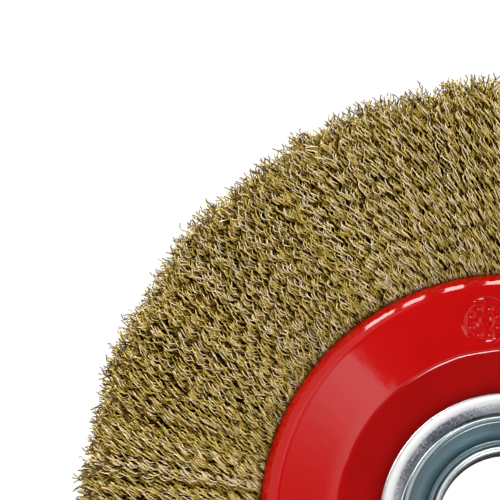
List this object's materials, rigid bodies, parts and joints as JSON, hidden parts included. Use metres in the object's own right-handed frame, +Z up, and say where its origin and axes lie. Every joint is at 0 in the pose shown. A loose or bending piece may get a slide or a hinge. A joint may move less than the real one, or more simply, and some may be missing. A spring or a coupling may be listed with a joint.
{
  "type": "crimped wire wheel brush",
  "caption": "Round wire wheel brush for a bench grinder: crimped brass-coated wire clamped between red side plates on a zinc-plated hub sleeve with reducing adapters.",
  "frame": {"origin": "centre of the arbor bore, on the wheel's middle plane", "axes": "+Y is the spin axis, with the front side plate facing -Y; +Z is up, with the stamped roundel near the top of the front plate; +X is to the right seen from the front"},
  "size_m": [0.2, 0.025, 0.2],
  "materials": {
    "wire": "brass-coated crimped steel wire, half bright, with dark cut ends",
    "red_enamel": "glossy red enamel",
    "zinc_plate": "bright zinc plating",
    "adapter_zinc": "blue-white zinc plating over turned draw marks",
    "plain_steel": "plain drawn steel"
  },
  "bodies": {
    "wheel": {"front_plate": "red_enamel", "rear_plate": "red_enamel", "hub_sleeve": "zinc_plate", "core_ring": "plain_steel", "wire_bundle_01": "wire", "wire_bundle_02": "wire", "wire_bundle_03": "wire", "wire_bundle_04": "wire", "wire_bundle_05": "wire", "wire_bundle_06": "wire", "wire_bundle_07": "wire", "wire_bundle_08": "wire", "wire_bundle_09": "wire", "wire_bundle_10": "wire", "wire_bundle_11": "wire", "wire_bundle_12": "wire", "wire_bundle_13": "wire", "wire_bundle_14": "wire", "wire_bundle_15": "wire", "wire_bundle_16": "wire", "wire_bundle_17": "wire", "wire_bundle_18": "wire", "wire_bundle_19": "wire", "wire_bundle_20": "wire", "wire_bundle_21": "wire", "wire_bundle_22": "wire", "wire_bundle_23": "wire", "wire_bundle_24": "wire"},
    "front_adapter": {"front_adapter": "adapter_zinc"},
    "rear_adapter": {"rear_adapter": "adapter_zinc"}
  },
  "joints": [
    {"name": "front_adapter_slide", "type": "slide", "parent": "wheel", "child": "front_adapter", "axis": [0, -1, 0], "range_m": [0, 0.04]},
    {"name": "rear_adapter_slide", "type": "slide", "parent": "wheel", "child": "rear_adapter", "axis": [0, 1, 0], "range_m": [0, 0.04]}
  ]
}
